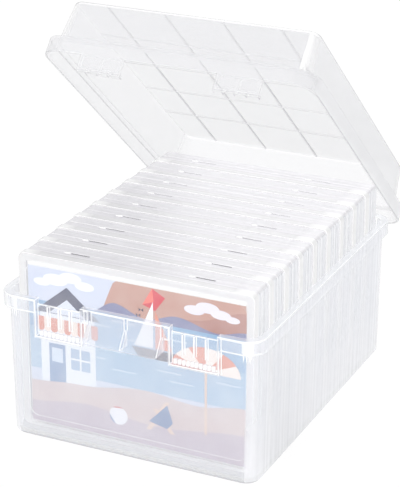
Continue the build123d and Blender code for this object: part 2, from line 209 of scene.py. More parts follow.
class Graph:
    """A material's node tree, with short ways to add and link nodes."""

    def __init__(self, name: str) -> None:
        """Make an empty node material.

        Args:
            name: The material's name.
        """
        self.material = bpy.data.materials.new(name)
        self.material.use_nodes = True
        self.tree = self.material.node_tree
        self.tree.nodes.clear()

    def add(self, kind: str, values: Values | None = None, **settings: object) -> Node:
        """Add a shader node, as new_node does."""
        return new_node(self.tree, "ShaderNode" + kind, values or {}, settings)

    def place(self) -> Socket:
        """Return the object's own coordinates."""
        return self.add("TexCoord").outputs["Object"]

    def noise(self, place: Socket, scale: float, detail: float) -> Socket:
        """Return soft noise at a place."""
        return self.add("TexNoise", {"Vector": place, "Scale": scale, "Detail": detail}).outputs[0]

    def slant(self) -> Socket:
        """Return how far the surface turns from the viewer, from 0 to 1."""
        return self.add("LayerWeight", {"Blend": 0.5}).outputs["Facing"]

    def ramp(self, value: Socket, reach: Point = UNIT, result: Point = UNIT) -> Socket:
        """Map a value evenly from one reach to another, held at both ends.

        Args:
            value: The value.
            reach: Where the ramp starts and ends.
            result: What it gives there.

        Returns:
            The mapped value.
        """
        values = {"Value": value, "From Min": reach[0], "From Max": reach[1]}
        values |= {"To Min": result[0], "To Max": result[1]}
        return self.add("MapRange", values).outputs[0]

    def work_out(self, kind: str, first: Socket, second: Amount, **settings: object) -> Socket:
        """Return the result of a Math operation on two values."""
        return self.add("Math", {0: first, 1: second}, operation=kind, **settings).outputs[0]

    def blend(self, factor: Amount, first: Tint, second: Tint) -> Socket:
        """Return the colour between two colours."""
        return self.add("MixRGB", {"Fac": factor, "Color1": first, "Color2": second}).outputs[0]

    def gloss(self, colour: Tint, rough: Amount, ior: float = PLASTIC_IOR) -> Node:
        """Return a glossy shader."""
        values = {"Base Color": colour, "Roughness": rough, "IOR": ior}
        return self.add("BsdfPrincipled", values)

    def mix(self, factor: Amount, first: Node, second: Node) -> Node:
        """Return the mix of two shaders."""
        return self.add("MixShader", {0: factor, 1: first.outputs[0], 2: second.outputs[0]})

    def finish(self, shader: Node) -> Material:
        """Link the last shader to the output, and return the material."""
        self.add("OutputMaterial", {"Surface": shader.outputs[0]})
        return self.material

    def finish_clear(self, seen: Node, light_passed: float) -> Material:
        """Finish a clear material, through which light falls on what lies behind.

        Args:
            seen: The shader that is seen.
            light_passed: The share of the light that passes.

        Returns:
            The material.
        """
        passed = self.add("BsdfTransparent", {"Color": (light_passed,) * 3})
        looked_at = self.add("LightPath").outputs["Is Camera Ray"]
        return self.finish(self.mix(looked_at, passed, seen))


@dataclass(frozen=True)
class ClearPlastic:
    """Milky clear moulded plastic: a hazy film over a clear body, milkier seen aslant, with painted
    shade as a dark grey outline where it turns away.

    The window is where no painted light whitens the moulding: its half width, its half height and
    the height of its middle, in metres. Its blur is a share of them. A reach is where a change
    starts and ends.
    """

    name: str
    colour: Colour
    shade: Colour
    tint: Colour
    haze: float
    slant_haze: float
    slant_reach: Point = (0.15, 0.75)
    # painted shade: a dark grey outline mixed in where the surface turns away, standing in for the
    # dark that clear plastic refracts at its edges
    outline: Colour = (0.45, 0.46, 0.48)
    outline_cover: float = 0.55
    outline_reach: Point = (0.78, 0.97)
    glow_through: float = 0.25
    light_passed: float = 0.995
    roughness: float = 0.2
    roughness_spread: float = 0.06
    grain: float = 60.0
    grain_detail: float = 3.0
    streaks: float = 0.0
    streak_scale: float = 260.0
    streak_detail: float = 2.0
    streak_contrast: Point = (0.35, 0.65)
    window: Point = (0.0715, 9.0)
    window_middle: float = 0.06465
    window_blur: float = 0.05
    # painted light: how strongly the moulding is whitened outside the window
    painted_light_outside: float = 0.0

    def build(self) -> Material:
        """Build the node material.

        Returns:
            The material.
        """
        graph = Graph(self.name)
        place = graph.place()
        axes = graph.add("SeparateXYZ", {"Vector": place})
        lines = graph.add(
            "TexNoise",
            {"W": axes.outputs["Y"], "Scale": self.streak_scale, "Detail": self.streak_detail},
            noise_dimensions="1D",
        )
        streak = graph.ramp(lines.outputs[0], self.streak_contrast)
        # painted light: whitening outside the window, which also thickens the milk there
        white = self.outside(graph, axes)
        slant = graph.slant()
        clear = graph.add("BsdfTransparent", {"Color": self.tint})
        milk = self.milk(graph, graph.noise(place, self.grain, self.grain_detail), streak, white)
        seen = graph.mix(self.film(graph, slant, streak, white), clear, milk)
        # painted shade: the dark grey outline at grazing angles
        outline = graph.ramp(slant, self.outline_reach, (0.0, self.outline_cover))
        seen = graph.mix(outline, seen, graph.gloss(self.outline, self.roughness))
        return graph.finish_clear(seen, self.light_passed)

    def outside(self, graph: Graph, axes: Node) -> Socket:
        """Find what lies outside the window, where painted light whitens the moulding.

        Args:
            graph: The material's node tree.
            axes: The Separate XYZ node of the object's place.

        Returns:
            A value from 0 in the window to the strength of the painted light past it.
        """
        rise = graph.work_out("SUBTRACT", axes.outputs["Z"], self.window_middle)
        reaches = []
        for place, half in ((axes.outputs["X"], self.window[0]), (rise, self.window[1])):
            away = graph.add("Math", {0: place}, operation="ABSOLUTE").outputs[0]
            reaches.append(graph.work_out("DIVIDE", away, half))
        border = (1.0 - self.window_blur, 1.0 + self.window_blur)
        return graph.ramp(graph.work_out("MAXIMUM", *reaches), border, (0.0, self.painted_light_outside))

    def milk(self, graph: Graph, cloud: Socket, streak: Socket, white: Socket) -> Node:
        """Make the milky body, which glows with the light from behind.

        Args:
            graph: The material's node tree.
            cloud: The grain.
            streak: The streaks that run along the moulding.
            white: How much painted light whitens each place.

        Returns:
            The shader.
        """
        streak_share = min(1.0, 2 * self.streaks)
        tone = graph.add("Mix", {"Factor": streak_share, "A": cloud, "B": streak}).outputs[0]
        colour = graph.blend(white, graph.blend(tone, self.shade, self.colour), WHITE)
        spread = (self.roughness - self.roughness_spread, self.roughness + self.roughness_spread)
        body = graph.gloss(colour, graph.ramp(cloud, result=spread))
        return graph.mix(self.glow_through, body, graph.add("BsdfTranslucent", {"Color": colour}))

    def film(self, graph: Graph, slant: Socket, streak: Socket, white: Socket) -> Socket:
        """Find how much the milk covers.

        Args:
            graph: The material's node tree.
            slant: How far the surface turns away.
            streak: The streaks that run along the moulding.
            white: How much painted light whitens each place.

        Returns:
            The cover, from 0 to 1.
        """
        haze = graph.ramp(slant, self.slant_reach, (self.haze, self.slant_haze))
        strength = graph.ramp(streak, result=(1.0 - self.streaks, 1.0 + self.streaks))
        cover = graph.work_out("MULTIPLY", haze, strength)
        return graph.work_out("ADD", cover, white, use_clamp=True)


@dataclass(frozen=True)
class EdgePlastic:
    """Painted light on the rounded edges of a clear moulding: one colour head on and another
    aslant, on most edges a painted highlight head on and painted grey shade aslant.

    Where there is a back cover, the cover turns into it along Y, over the back reach in metres.
    """

    name: str
    # painted light: the colour seen head on, a painted highlight on most edges and painted shade on
    # the foot and in the slots
    bright: Colour
    # painted shade: the grey seen aslant
    dark: Colour
    cover: float = 0.85
    back_cover: float | None = None
    back_reach: Point = (-0.085, 0.04)
    turn: Point = (0.4, 0.75)
    tint: Colour = (0.97, 0.97, 0.975)
    grain: float = 150.0
    grain_detail: float = 2.0
    roughness: Point = (0.08, 0.2)
    dark_roughness: float = 0.15
    light_passed: float = 0.995

    def build(self) -> Material:
        """Build the node material.

        Returns:
            The material.
        """
        graph = Graph(self.name)
        place = graph.place()
        cloud = graph.noise(place, self.grain, self.grain_detail)
        # painted highlight head on and painted shade aslant, mixed by how far the surface turns
        # away
        lit = graph.gloss(self.bright, graph.ramp(cloud, result=self.roughness))
        dim = graph.gloss(self.dark, self.dark_roughness)
        edge = graph.mix(graph.ramp(graph.slant(), self.turn), lit, dim)
        cover = self.cover
        if self.back_cover is not None:
            depth = graph.add("SeparateXYZ", {"Vector": place}).outputs["Y"]
            cover = graph.ramp(depth, self.back_reach, (self.cover, self.back_cover))
        clear = graph.add("BsdfTransparent", {"Color": self.tint})
        return graph.finish_clear(graph.mix(cover, clear, edge), self.light_passed)


@dataclass(frozen=True)
class PrintedCard:
    """Glossy photo card, printed in the colours of the piece's ink attribute."""

    name: str
    ink: str = "ink"
    grain: float = 45.0
    grain_detail: float = 4.0
    wash: Point = (0.3, 0.7)
    fade: float = 0.16
    fade_colour: Colour = (1.0, 0.98, 0.97)
    roughness: Point = (0.3, 0.45)

    def build(self) -> Material:
        """Build the node material.

        Returns:
            The material.
        """
        graph = Graph(self.name)
        settings = {"attribute_name": self.ink, "attribute_type": "GEOMETRY"}
        ink = graph.add("Attribute", **settings).outputs["Color"]
        cloud = graph.noise(graph.place(), self.grain, self.grain_detail)
        pale = graph.blend(self.fade, ink, self.fade_colour)
        printed = graph.blend(graph.ramp(cloud, self.wash), ink, pale)
        sheen = graph.ramp(cloud, result=self.roughness)
        return graph.finish(graph.gloss(printed, sheen, CARD_IOR))


@dataclass(frozen=True)
class Paper:
    """The unprinted paper of the picture card."""

    name: str
    colour: Colour = (0.9, 0.9, 0.9)
    shade: Colour = (0.84, 0.84, 0.85)
    grain: float = 600.0
    grain_detail: float = 3.0
    roughness: float = 0.6

    def build(self) -> Material:
        """Build the node material.

        Returns:
            The material.
        """
        graph = Graph(self.name)
        fibres = graph.noise(graph.place(), self.grain, self.grain_detail)
        colour = graph.blend(fibres, self.shade, self.colour)
        values = {"Base Color": colour, "Roughness": self.roughness}
        return graph.finish(graph.add("BsdfPrincipled", values))


# ---------------------------------------------------------------- making


def linked(name: str, data: bpy.types.ID) -> Object:
    """Make an object and link it to the scene.

    Args:
        name: The object's name.
        data: Its mesh, lamp or camera.

    Returns:
        The object.
    """
    thing = bpy.data.objects.new(name, data)
    bpy.context.scene.collection.objects.link(thing)
    return thing


def span(edge: bmesh.types.BMEdge, face: BMFace) -> float:
    """Measure how wide a face is beside one of its edges.

    Args:
        edge: The edge to start from.
        face: A face that has this edge.

    Returns:
        The least distance to the face's other edges, square to this one, in metres.
    """
    start, end = (vert.co for vert in edge.verts)
    along = (end - start).normalized()
    square = face.normal.cross(along)
    widths = [(end - start).length]
    for part in SPAN_PLACES:
        place = start.lerp(end, part)
        for other in face.edges:
            first, last = (vert.co - place for vert in other.verts)
            before, after = first.dot(along), last.dot(along)
            if other != edge and before * after < 0.0:
                widths.append(abs(square.dot(first.lerp(last, before / (before - after)))))
    return min(width for width in widths if width > LEAST_SPAN * MM)


def even_chains(shell: bmesh.types.BMesh, weight: bmesh.types.BMLayerItem) -> None:
    """Give edges that run on from each other the least of their bevel weights.

    Args:
        shell: The mesh.
        weight: Its layer of bevel weights.
    """
    pairs = []
    for vert in shell.verts:
        edges = [edge for edge in vert.link_edges if edge[weight] > 0]
        ends = [(edge, (edge.other_vert(vert).co - vert.co).normalized()) for edge in edges]
        for number, (edge, way) in enumerate(ends):
            rest = ends[number + 1 :]
            pairs += [(edge, other) for other, turn in rest if way.dot(turn) < RUN_ON_COSINE]
    uneven = True
    while uneven:
        uneven = False
        for pair in pairs:
            least = min(edge[weight] for edge in pair)
            for edge in pair:
                if edge[weight] > least:
                    edge[weight] = least
                    uneven = True


def prepare(mesh: Mesh, radius: float, pick: FacePicker) -> None:
    """Weld a solid's loose triangles into clean faces, and weigh its corners for the bevel.

    Args:
        mesh: The mesh, which is changed.
        radius: Radius of the rounded edges, in metres.
        pick: Chooses a face's material by number.
    """
    shell = bmesh.new()
    shell.from_mesh(mesh)
    bmesh.ops.remove_doubles(shell, verts=shell.verts, dist=WELD_REACH * MM)
    bmesh.ops.dissolve_limit(
        shell,
        angle_limit=math.radians(FLAT_ANGLE),
        use_dissolve_boundaries=False,
        verts=shell.verts,
        edges=shell.edges,
    )
    for face in shell.faces:
        face.smooth = True
        face.material_index = pick(face)
    weight = shell.edges.layers.float.new("bevel_weight_edge")
    for edge in shell.edges:
        if len(edge.link_faces) == 2 and edge.calc_face_angle() > math.radians(CORNER_ANGLE):
            room = ROUNDED_SHARE * min(span(edge, face) for face in edge.link_faces)
            edge[weight] = min(1.0, room / radius)
    even_chains(shell, weight)
    bmesh.ops.triangulate(shell, faces=[face for face in shell.faces if len(face.verts) > 4])
    shell.to_mesh(mesh)
    shell.free()


def refined_copy(
    node: str, finishes: list[Material], radius: float, pick: FacePicker
) -> Object:
    """Make the piece that stands for a solid: a clean copy with its edges rounded.

    Args:
        node: The solid's node.
        finishes: Materials, the last of which goes on the rounded edges.
        radius: Radius of the rounded edges, in metres.
        pick: Chooses a face's material by number.

    Returns:
        The new piece, which rides where the node rides and replaces it.
    """
    source = frame["nodes"][node]
    mesh = source.data.copy()
    mesh.name = node + "_shell"
    mesh.materials.clear()
    for finish in finishes:
        mesh.materials.append(finish)
    prepare(mesh, radius, pick)
    piece = linked(mesh.name, mesh)
    bevel = piece.modifiers.new("edges", "BEVEL")
    bevel.width = radius
    bevel.segments = ROUND_STEPS
    bevel.limit_method = "WEIGHT"
    bevel.use_clamp_overlap = False
    bevel.loop_slide = False
    bevel.material = len(finishes) - 1
    flats = piece.modifiers.new("flats", "WEIGHTED_NORMAL")
    flats.keep_sharp = True
    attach(piece, source["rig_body"])
    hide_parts(node)
    return piece


class Recipe:
    """A Geometry Nodes tree with named inputs that makes one piece of trim."""

    def __init__(self, name: str, sizes: dict[str, float]) -> None:
        """Start a tree.

        Args:
            name: The tree's name.
            sizes: Input names with their starting values, in metres or counts.
        """
        self.tree = bpy.data.node_groups.new(name, "GeometryNodeTree")
        self.inputs = {}
        for key, value in sizes.items():
            self.inputs[key] = self.socket(key, "Int" if isinstance(value, int) else "Float")
            self.inputs[key].default_value = value
        self.finish_input = self.socket("Finish", "Material")
        self.socket("Geometry", "Geometry", "OUTPUT")
        self.start = self.tree.nodes.new("NodeGroupInput")

    def socket(self, name: str, kind: str, way: str = "INPUT") -> bpy.types.NodeTreeInterfaceSocket:
        """Add an input or an output of the tree, and return it."""
        interface = self.tree.interface
        return interface.new_socket(name=name, in_out=way, socket_type="NodeSocket" + kind)

    def add(self, kind: str, values: Values | None = None, **settings: object) -> Node:
        """Add a node.

        Args:
            kind: The node's type.
            values: As in new_node, where a string names one of the tree's inputs.
            settings: Properties of the node itself.

        Returns:
            The new node.
        """
        ready = dict(values or {})
        for key, value in ready.items():
            if isinstance(value, str):
                ready[key] = self.start.outputs[value]
        return new_node(self.tree, kind, ready, settings)

    def vector(self, x: object, y: object, z: object) -> Socket:
        """Combine three numbers, sockets or input names into a vector."""
        return self.add("ShaderNodeCombineXYZ", {"X": x, "Y": y, "Z": z}).outputs[0]

    def product(self, first: Socket, second: str | float) -> Socket:
        """Multiply a value by a number or an input."""
        return self.add("ShaderNodeMath", {0: first, 1: second}, operation="MULTIPLY").outputs[0]

    def close(self, geometry: Socket) -> None:
        """End the tree in Realize Instances, smooth shading and Set Material.

        Args:
            geometry: What the tree has made.
        """
        real = self.add("GeometryNodeRealizeInstances", {"Geometry": geometry})
        smooth = self.add("GeometryNodeSetShadeSmooth", {"Geometry": real.outputs[0]})
        values = {"Geometry": smooth.outputs[0], "Material": "Finish"}
        dressed = self.add("GeometryNodeSetMaterial", values)
        end = self.tree.nodes.new("NodeGroupOutput")
        self.tree.links.new(dressed.outputs[0], end.inputs["Geometry"])

    def make(self, sizes: dict[str, float], finish: Material) -> Mesh:
        """Run the tree once.

        Args:
            sizes: The inputs that differ from their starting values.
            finish: The material.

        Returns:
            The result as a plain mesh.
        """
        carrier = linked("carrier", bpy.data.meshes.new("carrier"))
        work = carrier.modifiers.new("recipe", "NODES")
        work.node_group = self.tree
        work[self.finish_input.identifier] = finish
        for key, value in sizes.items():
            work[self.inputs[key].identifier] = value
        ready = carrier.evaluated_get(bpy.context.evaluated_depsgraph_get())
        mesh = bpy.data.meshes.new_from_object(ready)
        carrier.modifiers.clear()
        bpy.data.objects.remove(carrier)
        return mesh


def row_recipe(levels: int = 2, crease: float = 0.75) -> Recipe:
    """Make the tree for a row of softly rounded blocks along X, centred on the origin.

    Args:
        levels: How often each block is subdivided.
        crease: How sharp its edges stay, from 0 to 1.

    Returns:
        The tree.
    """
    sizes = {"Count": 8, "Pitch": 0.003, "Length": 0.002, "Depth": 0.002, "Height": 0.003}
    recipe = Recipe("row", sizes)
    block = recipe.add("GeometryNodeMeshCube", {"Size": recipe.vector("Length", "Depth", "Height")})
    soft = recipe.add(
        "GeometryNodeSubdivisionSurface",
        {0: block.outputs[0], "Level": levels, "Edge Crease": crease},
    )
    gaps = recipe.add("ShaderNodeMath", {0: "Count", 1: 1.0}, operation="SUBTRACT")
    first = recipe.product(recipe.product(gaps.outputs[0], "Pitch"), -0.5)
    line = recipe.add(
        "GeometryNodeMeshLine",
        {
            "Count": "Count",
            "Start Location": recipe.vector(first, 0.0, 0.0),
            "Offset": recipe.vector("Pitch", 0.0, 0.0),
        },
        mode="OFFSET",
    )
    row = recipe.add(
        "GeometryNodeInstanceOnPoints", {"Points": line.outputs[0], "Instance": soft.outputs[0]}
    )
    recipe.close(row.outputs[0])
    return recipe


def trim_piece(name: str, body: str, parts: list[tuple[Mesh, Matrix]]) -> Object:
    """Join placed meshes into one piece that rides on a body.

    Args:
        name: The piece's name.
        body: The body that it rides on.
        parts: Each mesh with its place.

    Returns:
        The piece.
    """
    joined = bmesh.new()
    for mesh, place in parts:
        copy = mesh.copy()
        copy.transform(place)
        joined.from_mesh(copy)
    bmesh.ops.recalc_face_normals(joined, faces=joined.faces)
    mesh = bpy.data.meshes.new(name)
    joined.to_mesh(mesh)
    joined.free()
    for finish in parts[0][0].materials:
        mesh.materials.append(finish)
    piece = linked(name, mesh)
    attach(piece, body)
    return piece


# ---------------------------------------------------------------- sub-assemblies


@dataclass
class Bin:
    """The bin with its rim, latch pockets and pull handle.

    Sizes are in mm. Lying, facing and sideways are how far a face's normal turns that way.
    """

    edge: float = 0.5
    pocket_spacing: float = 95.0
    pocket_floor: float = 75.5
    rib_width: float = 1.6
    ribs_low: float = 74.0
    teeth: int = 10
    tooth_pitch: float = 2.9
    tooth_length: float = 2.3
    tooth_depth: float = 2.2
    tooth_height: float = 3.6
    tooth_front: float = -114.6
    foot_height: float = 1.5
    foot_sharpness: float = 0.3
    lying: float = 0.95
    facing: float = 0.8
    sideways: float = 0.3
    # painted light and shade: the front, back and floor take a darker copy of the bin's plastic
    # than the side walls
    front: ClearPlastic = ClearPlastic(
        name="bin_plastic",
        colour=(0.86, 0.87, 0.9),
        shade=(0.81, 0.822, 0.86),
        tint=(0.985, 0.989, 0.995),
        haze=0.16,
        slant_haze=0.4,
        glow_through=0.3,
    )
    # painted light: the side walls take a paler copy of the same plastic
    sides: ClearPlastic = ClearPlastic(
        name="bin_sides",
        colour=(0.925, 0.93, 0.965),
        shade=(0.85, 0.86, 0.9),
        tint=(0.985, 0.987, 0.995),
        haze=0.2,
        slant_haze=0.42,
        glow_through=0.3,
        streaks=0.12,
        window=(9.0, 0.08),
        window_middle=0.1,
        window_blur=0.35,
        # painted light: the side walls whitened towards the bottom
        painted_light_outside=0.4,
    )
    foot: EdgePlastic = EdgePlastic(
        "foot_shade", (0.42, 0.42, 0.44), (0.6, 0.6, 0.62), 0.7, turn=(0.25, 0.6)
    )
    # painted light on the rounded edges and slim rib fronts: a painted highlight head on, painted
    # grey shade aslant
    rim_edges: EdgePlastic = EdgePlastic("bin_edges", (0.985, 0.99, 0.99), (0.72, 0.74, 0.76), 0.75)
    # painted light on the stop teeth: a painted highlight head on, painted grey shade aslant
    tooth_plastic: EdgePlastic = EdgePlastic(
        "tooth_plastic", (0.97, 0.97, 0.98), (0.8, 0.81, 0.84), 0.6
    )

    def part(self, face: BMFace) -> int:
        """Tell the foot's side, a slim rib's front and a side wall from the rest.

        Args:
            face: The face.

        Returns:
            The number of its kind.
        """
        height = face.calc_center_median().z / MM
        places = [vert.co.x for vert in face.verts]
        slim = max(places) - min(places) < self.rib_width * MM
        if height < self.foot_height and abs(face.normal.z) < self.lying:
            return BinFace.FOOT.value
        if slim and face.normal.y < -self.facing and height > self.ribs_low:
            return BinFace.EDGE.value
        return (BinFace.SIDE if abs(face.normal.x) > self.sideways else BinFace.SHELL).value

    def sharpen_foot(self, mesh: Mesh) -> None:
        """Keep the rounding of the foot's edges slim.

        Args:
            mesh: The bin's mesh, with its bevel weights.
        """
        weights = mesh.attributes["bevel_weight_edge"].data
        for edge in mesh.edges:
            if max(mesh.vertices[corner].co.z for corner in edge.vertices) < self.foot_height * MM:
                weights[edge.index].value *= self.foot_sharpness

    def build(self, rows: Recipe) -> None:
        """Dress the moulding and add the stop teeth on the pocket floors.

        Args:
            rows: The tree for rows of blocks.
        """
        finishes = [part.build() for part in (self.front, self.sides, self.foot, self.rim_edges)]
        shell = refined_copy("base_bin", finishes, self.edge * MM, self.part)
        self.sharpen_foot(shell.data)
        sizes = {
            "Count": self.teeth,
            "Pitch": self.tooth_pitch * MM,
            "Length": self.tooth_length * MM,
            "Depth": self.tooth_depth * MM,
            "Height": self.tooth_height * MM,
        }
        row = rows.make(sizes, self.tooth_plastic.build())
        height = (self.pocket_floor + self.tooth_height / 2) * MM
        parts = []
        for side in (-1, 1):
            place = (side * self.pocket_spacing / 2 * MM, self.tooth_front * MM, height)
            parts.append((row, Matrix.Translation(place)))
        trim_piece("pocket_teeth", "bin", parts)
        log.info("bin: shell and %d pocket teeth", 2 * self.teeth)


@dataclass
class Lid:
    """The lid with its skirt, crown, grid and latch tabs, drawn open.

    Sizes are in mm, with the heights above the hinge when the lid is shut. Upright, sloping and
    cornered are how far a face's normal turns that way.
    """

    edge: float = 0.4
    open_angle: float = 40.9
    hinge_y: float = 120.349
    hinge_z: float = 75.0
    grid_low: float = 54.2
    grid_high: float = 55.4
    crown_low: float = 30.0
    upright: float = 0.3
    sloping: Point = (0.25, 0.93)
    cornered: float = 0.2
    plastic: ClearPlastic = ClearPlastic(
        name="lid_plastic",
        colour=(0.965, 0.965, 0.98),
        shade=(0.93, 0.93, 0.945),
        tint=(0.955, 0.955, 0.96),
        haze=0.2,
        slant_haze=0.42,
        glow_through=0.6,
    )
    # painted shade: dark grey lines on the sides of the grid's ribs
    rib_sides: EdgePlastic = EdgePlastic("grid_sides", (0.66, 0.66, 0.67), (0.4, 0.4, 0.41), 0.75)
    # painted light on the crown's sloping edge: a painted highlight head on, a dark painted shade
    # line aslant
    crown_edge: EdgePlastic = EdgePlastic(
        "crown_edge", (0.96, 0.96, 0.965), (0.33, 0.33, 0.35), 0.55, turn=(0.5, 0.85)
    )
    # painted highlight: the crown's rounded corners turn white head on
    painted_corner_highlight: ClearPlastic = ClearPlastic(
        name="painted_corner_highlight",
        colour=WHITE,
        shade=(0.98, 0.98, 0.98),
        tint=(0.96, 0.96, 0.963),
        haze=0.8,
        slant_haze=0.22,
        slant_reach=(0.05, 0.165),
        glow_through=0.3,
    )
    # painted shade: grey lines on the lid's rounded edges, darker aslant
    lid_edges: EdgePlastic = EdgePlastic(
        "lid_edges", (0.74, 0.74, 0.75), (0.42, 0.42, 0.44), 0.6, turn=(0.25, 0.6)
    )

    def side(self, face: BMFace) -> int:
        """Tell which kind of face this is by where it lies and looks with the lid shut.

        Args:
            face: The face.

        Returns:
            The number of its kind.
        """
        place = face.calc_center_median() - Vector((0.0, self.hinge_y, self.hinge_z)) * MM
        turn = Matrix.Rotation(math.radians(self.open_angle), 3, "X")
        _, depth, height = turn @ place / MM
        across, along, up = (abs(part) for part in turn @ face.normal)
        if up < self.upright and self.grid_low < height < self.grid_high:
            return LidFace.RIB_SIDE.value
        if height > self.crown_low and self.sloping[0] < up < self.sloping[1]:
            return LidFace.CROWN_EDGE.value
        if height > self.crown_low and min(across, along) > self.cornered and depth < -self.hinge_y:
            return LidFace.CROWN_CORNER.value
        return LidFace.SHELL.value

    def build(self) -> None:
        """Dress the moulding."""
        parts = (self.plastic, self.rib_sides, self.crown_edge, self.painted_corner_highlight, self.lid_edges)
        refined_copy("lid", [part.build() for part in parts], self.edge * MM, self.side)
        log.info("lid: shell")


@dataclass
class CaseFinishes:
    """The finishes that all the photo cases share: one plastic in lit and shaded copies for the
    panel, top, flank, band and front, with painted light on the edges.
    """

    panel: ClearPlastic = ClearPlastic(
        name="case_panel",
        colour=(0.97, 0.97, 0.975),
        shade=(0.94, 0.94, 0.95),
        tint=(0.99, 0.99, 0.993),
        haze=0.05,
        slant_haze=0.3,
    )
    # painted shade: the tops take a darker copy of the plastic
    top: ClearPlastic = ClearPlastic(
        name="case_top",
        colour=(0.79, 0.78, 0.815),
        shade=(0.7, 0.69, 0.725),
        tint=(0.993, 0.992, 0.995),
        haze=0.6,
        slant_haze=0.95,
        streaks=0.08,
        # painted light: the top whitened towards its ends
        painted_light_outside=0.15,
    )
    # painted light and shade: the flanks take a paler copy of the plastic
    flank: ClearPlastic = ClearPlastic(
        name="case_flank",
        colour=(0.92, 0.925, 0.95),
        shade=(0.72, 0.74, 0.785),
        tint=(0.988, 0.99, 0.994),
        haze=0.55,
        slant_haze=0.85,
        streaks=0.35,
        window=(9.0, 9.0),
    )
    # painted shade: the band takes a darker copy of the plastic
    band: ClearPlastic = ClearPlastic(
        name="case_band",
        colour=(0.79, 0.787, 0.8),
        shade=(0.68, 0.677, 0.695),
        tint=(0.993, 0.992, 0.995),
        haze=0.7,
        slant_haze=0.9,
        streaks=0.1,
        # painted light: the band's ends whitened
        painted_light_outside=0.6,
    )
    front: ClearPlastic = ClearPlastic(
        name="case_front",
        colour=(0.83, 0.83, 0.84),
        shade=(0.77, 0.77, 0.79),
        tint=(0.99, 0.99, 0.993),
        haze=0.05,
        slant_haze=0.3,
        window=(0.0768, 0.0574),
        window_middle=0.0631,
        window_blur=0.003,
        # painted light: the frame around the picture whitened
        painted_light_outside=0.42,
    )
    slot: EdgePlastic = EdgePlastic(
        "slot_shade", (0.12, 0.12, 0.14), (0.1, 0.1, 0.12), 0.7, back_cover=0.15
    )
    # painted light on the rounded edges and the latch studs: a painted highlight head on, painted
    # grey shade aslant
    edge: EdgePlastic = EdgePlastic("case_edges", (0.99, 0.99, 0.99), (0.8, 0.8, 0.83), 0.8)

    def build(self) -> list[Material]:
        """Build the materials, and return them in the order of CaseFace."""
        parts = (self.panel, self.top, self.flank, self.band, self.front, self.slot, self.edge)
        return [part.build() for part in parts]


@dataclass
class PhotoCase:
    """One slim upright case: a cover with a sunk panel, and a tray.

    Sizes are in mm. Facing and turned are how far a face's normal turns that way.
    """

    number: int
    finishes: list[Material]
    edge: float = 0.4
    height: float = 122.3
    bottom: float = 3.5
    top_depth: float = 3.0
    slot_spacing: float = 88.0
    slot_length: float = 14.0
    slot_width: float = 1.4
    slot_setback: float = 1.4
    slot_end_slack: float = 0.2
    slack: float = 0.1
    band_depth: float = 6.5
    band_step: float = 0.8
    stud_size: Place = (4.6, 2.0, 0.7)
    stud_sink: float = 0.1
    facing: float = 0.8
    turned: float = 0.5
    slot_line: float = field(init=False)
    band_front: float = field(init=False)

    def face(self, face: BMFace) -> int:
        """Tell which kind of face this is by where it looks and lies.

        Args:
            face: The face.

        Returns:
            The number of its kind.
        """
        middle = face.calc_center_median() / MM
        from_slot = abs(abs(middle.x) - self.slot_spacing / 2)
        beside = from_slot < self.slot_length / 2 + self.slot_end_slack
        high = middle.z > self.bottom + self.height - self.top_depth
        near = abs(middle.y - self.slot_line) < self.slot_width / 2 + self.slack
        if high and near and beside and face.normal.y < -self.turned:
            return CaseFace.SLOT.value
        if abs(face.normal.y) > self.facing:
            outermost = middle.y < self.band_front + self.slack
            return (CaseFace.FRONT if outermost else CaseFace.PANEL).value
        if middle.y < self.band_front + self.band_depth:
            return CaseFace.BAND.value
        return (CaseFace.TOP if abs(face.normal.z) > self.turned else CaseFace.FLANK).value

    def build(self, rows: Recipe) -> None:
        """Dress both shells, and add the latch studs.

        Args:
            rows: The tree for rows of blocks.
        """
        name = f"case_{self.number}"
        low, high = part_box(f"{name}_cover")
        self.slot_line = high[1] / MM - self.slot_setback
        self.band_front = low[1] / MM
        for part in ("cover", "tray"):
            refined_copy(f"{name}_{part}", self.finishes, self.edge * MM, self.face)
        length, depth, height = (size * MM for size in self.stud_size)
        spacing = self.slot_spacing * MM
        sizes = {"Count": 2, "Pitch": spacing, "Length": length, "Depth": depth, "Height": height}
        # the studs take the painted edge highlight
        studs = rows.make(sizes, self.finishes[CaseFace.EDGE.value])
        place = (
            -(self.slot_length / 2 * MM + length / 2),
            self.slot_line * MM,
            high[2] - self.band_step * MM + height / 2 - self.stud_sink * MM,
        )
        trim_piece(f"{name}_trim", name, [(studs, Matrix.Translation(place))])
        log.info("%s: cover, tray and trim", name)


